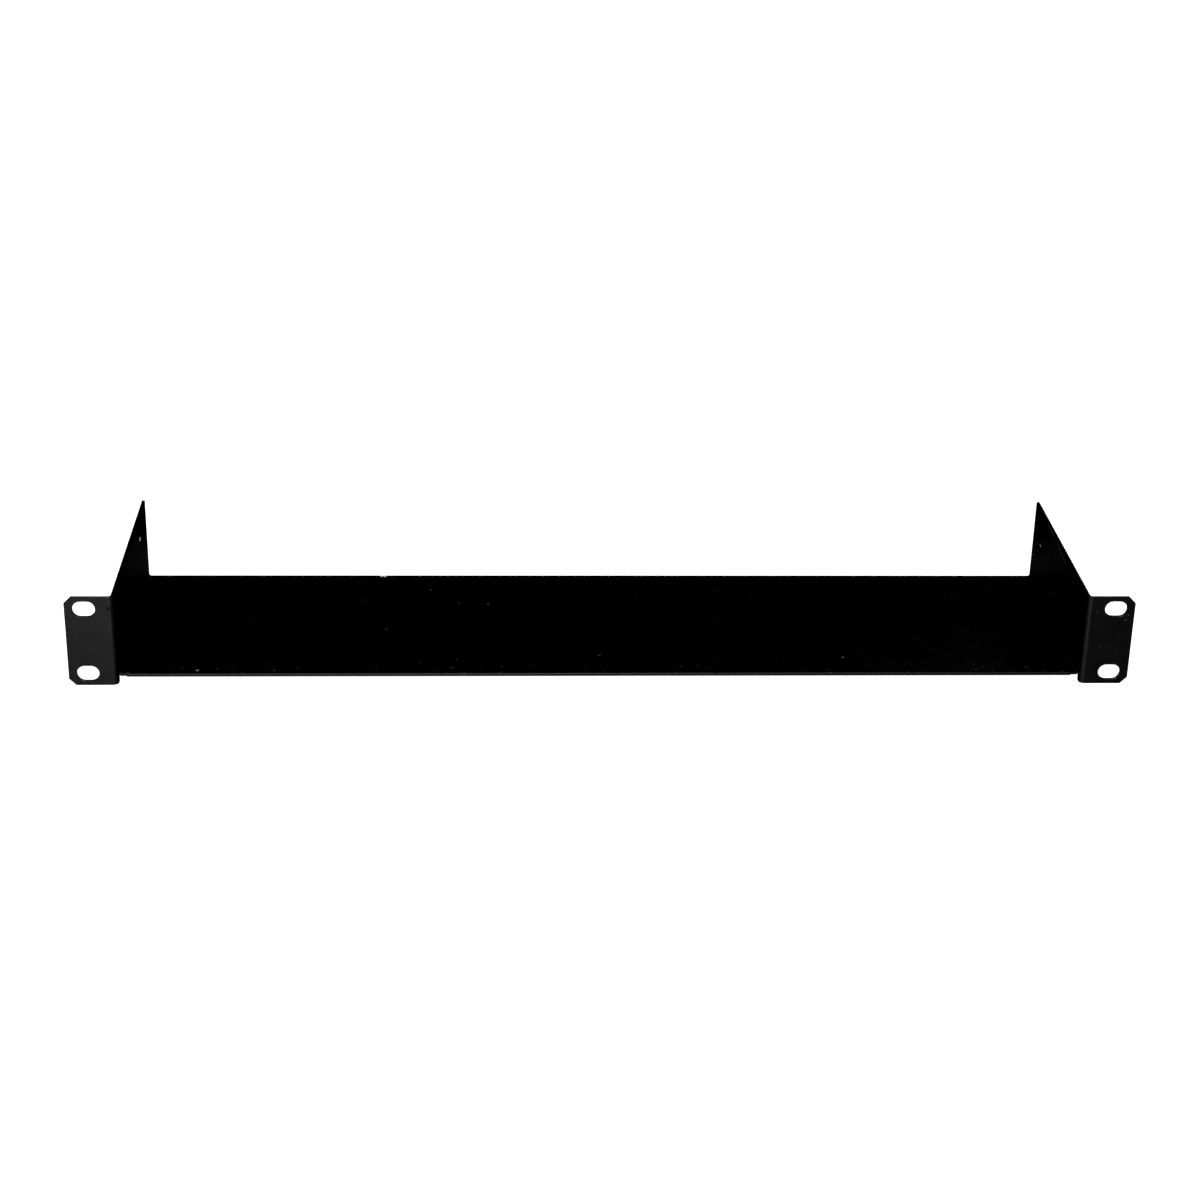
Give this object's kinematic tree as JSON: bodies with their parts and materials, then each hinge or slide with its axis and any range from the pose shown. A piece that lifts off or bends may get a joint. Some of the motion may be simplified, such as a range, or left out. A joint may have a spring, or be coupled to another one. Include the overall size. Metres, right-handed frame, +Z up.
{
  "type": "rack tray",
  "caption": "Shallow tray for a 19-inch equipment rack, folded from one black powder-coated steel sheet: flat floor, side walls folded up, slotted ears folded out.",
  "frame": {"origin": "centre of the pattern of ear slots, in the plane of the ears' rear faces, which is the plane that lies against the rack's rails", "axes": "+X to the right seen from the front, +Y to the rear, into the rack, +Z up"},
  "size_m": [0.4826, 0.1143, 0.0436],
  "materials": {
    "black_powder_coat": "satin black powder coat, fine grit, on folded mild steel sheet"
  },
  "bodies": {
    "root": {"rack_tray": "black_powder_coat"}
  },
  "joints": []
}
